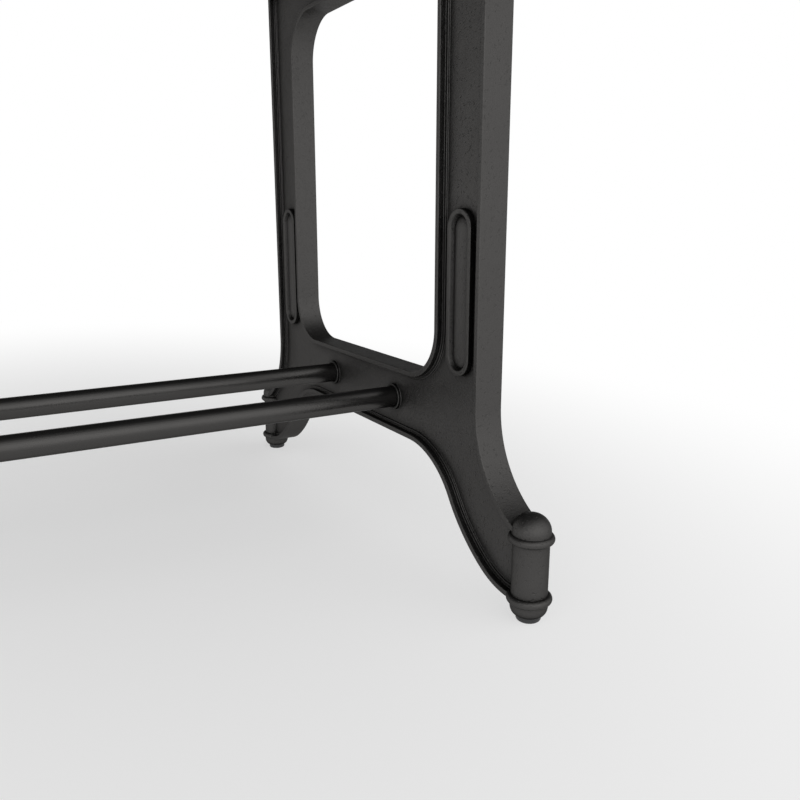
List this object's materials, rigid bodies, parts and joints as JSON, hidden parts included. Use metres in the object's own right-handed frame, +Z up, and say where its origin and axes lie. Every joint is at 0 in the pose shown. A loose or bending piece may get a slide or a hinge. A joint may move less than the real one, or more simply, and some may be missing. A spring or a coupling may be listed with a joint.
{
  "type": "table base",
  "caption": "Cast iron table base: panelled end frames on arched feet with turned columns, joined by round stretcher tubes.",
  "frame": {"origin": "on the floor, midway between the two end frames and between front and rear feet", "axes": "+X along the stretcher tubes to the right end frame, +Y from the front feet to the rear feet, +Z up"},
  "size_m": [1.29, 0.726, 0.71],
  "materials": {
    "casting": "dark satin paint over fine cast grain",
    "tube": "dark satin paint",
    "fastener": "dark zinc plating",
    "glide": "matt black nylon"
  },
  "bodies": {
    "root": {"end_frame_right": "casting", "end_frame_left": "casting", "stretcher_tube_front": "tube", "stretcher_tube_rear": "tube", "tube_plug_front_right": "fastener", "flat_washer_front_right": "fastener", "lock_washer_front_right": "fastener", "stretcher_bolt_front_right": "fastener", "foot_glide_front_right": "glide", "tube_plug_front_left": "fastener", "flat_washer_front_left": "fastener", "lock_washer_front_left": "fastener", "stretcher_bolt_front_left": "fastener", "foot_glide_front_left": "glide", "tube_plug_rear_right": "fastener", "flat_washer_rear_right": "fastener", "lock_washer_rear_right": "fastener", "stretcher_bolt_rear_right": "fastener", "foot_glide_rear_right": "glide", "tube_plug_rear_left": "fastener", "flat_washer_rear_left": "fastener", "lock_washer_rear_left": "fastener", "stretcher_bolt_rear_left": "fastener", "foot_glide_rear_left": "glide"}
  },
  "joints": []
}
